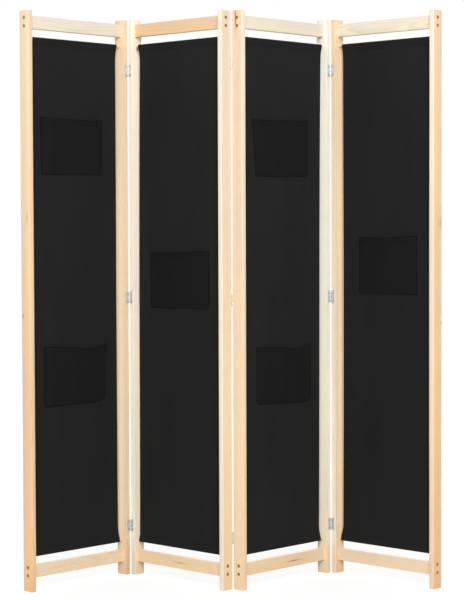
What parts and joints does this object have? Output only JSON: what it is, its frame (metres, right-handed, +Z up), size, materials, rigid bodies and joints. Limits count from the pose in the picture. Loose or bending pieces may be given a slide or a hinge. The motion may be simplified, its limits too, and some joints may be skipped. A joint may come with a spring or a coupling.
{
  "type": "folding room divider screen",
  "caption": "Folding screen of hinged upright pine frames, each with a cloth stretched between two rods and open-topped patch pockets.",
  "frame": {"origin": "on the floor, at the middle of the footprint of the screen as it stands folded in a zigzag", "axes": "+Z up, -Y towards the front where the pockets are, +X to the right as seen from the front; panels are numbered from the left"},
  "size_m": [1.232, 0.3128, 1.7],
  "materials": {
    "pine": "sanded, clear matt",
    "dowel": "plain turned",
    "cloth": "woven polyester, black",
    "pocket_cloth": "woven polyester, black",
    "hinge_leaf": "zinc plated",
    "hinge_pin": "zinc plated",
    "hinge_screw": "zinc plated",
    "frame_screw": "dull yellow zinc"
  },
  "bodies": {
    "panel_1": {"joint_1_2_hinge_pins": "hinge_pin", "joint_1_2_leaves_on_panel_1": "hinge_leaf", "panel_1_bottom_rail": "pine", "panel_1_bottom_rod": "dowel", "panel_1_cloth": "cloth", "panel_1_frame_screws": "frame_screw", "panel_1_hems": "cloth", "panel_1_hinge_screws": "hinge_screw", "panel_1_left_stile": "pine", "panel_1_lower_pocket": "pocket_cloth", "panel_1_right_stile": "pine", "panel_1_top_rail": "pine", "panel_1_top_rod": "dowel", "panel_1_upper_pocket": "pocket_cloth"},
    "panel_2": {"joint_1_2_leaves_on_panel_2": "hinge_leaf", "joint_2_3_hinge_pins": "hinge_pin", "joint_2_3_leaves_on_panel_2": "hinge_leaf", "panel_2_bottom_rail": "pine", "panel_2_bottom_rod": "dowel", "panel_2_cloth": "cloth", "panel_2_frame_screws": "frame_screw", "panel_2_hems": "cloth", "panel_2_hinge_screws": "hinge_screw", "panel_2_left_stile": "pine", "panel_2_pocket": "pocket_cloth", "panel_2_right_stile": "pine", "panel_2_top_rail": "pine", "panel_2_top_rod": "dowel"},
    "panel_3": {"joint_2_3_leaves_on_panel_3": "hinge_leaf", "joint_3_4_hinge_pins": "hinge_pin", "joint_3_4_leaves_on_panel_3": "hinge_leaf", "panel_3_bottom_rail": "pine", "panel_3_bottom_rod": "dowel", "panel_3_cloth": "cloth", "panel_3_frame_screws": "frame_screw", "panel_3_hems": "cloth", "panel_3_hinge_screws": "hinge_screw", "panel_3_left_stile": "pine", "panel_3_lower_pocket": "pocket_cloth", "panel_3_right_stile": "pine", "panel_3_top_rail": "pine", "panel_3_top_rod": "dowel", "panel_3_upper_pocket": "pocket_cloth"},
    "panel_4": {"joint_3_4_leaves_on_panel_4": "hinge_leaf", "panel_4_bottom_rail": "pine", "panel_4_bottom_rod": "dowel", "panel_4_cloth": "cloth", "panel_4_frame_screws": "frame_screw", "panel_4_hems": "cloth", "panel_4_hinge_screws": "hinge_screw", "panel_4_left_stile": "pine", "panel_4_pocket": "pocket_cloth", "panel_4_right_stile": "pine", "panel_4_top_rail": "pine", "panel_4_top_rod": "dowel"}
  },
  "joints": [
    {"name": "fold_1_2", "type": "hinge", "parent": "panel_2", "child": "panel_1", "pos_m": [-0.3094, 0.12968, 0.85], "axis": [0, 0, -1], "range_deg": [-88, 92]},
    {"name": "fold_2_3", "type": "hinge", "parent": "panel_2", "child": "panel_3", "pos_m": [0, -0.12968, 0.85], "axis": [0, 0, -1], "range_deg": [-88, 92]},
    {"name": "fold_3_4", "type": "hinge", "parent": "panel_3", "child": "panel_4", "pos_m": [0.3094, 0.12968, 0.85], "axis": [0, 0, 1], "range_deg": [-88, 92]}
  ]
}
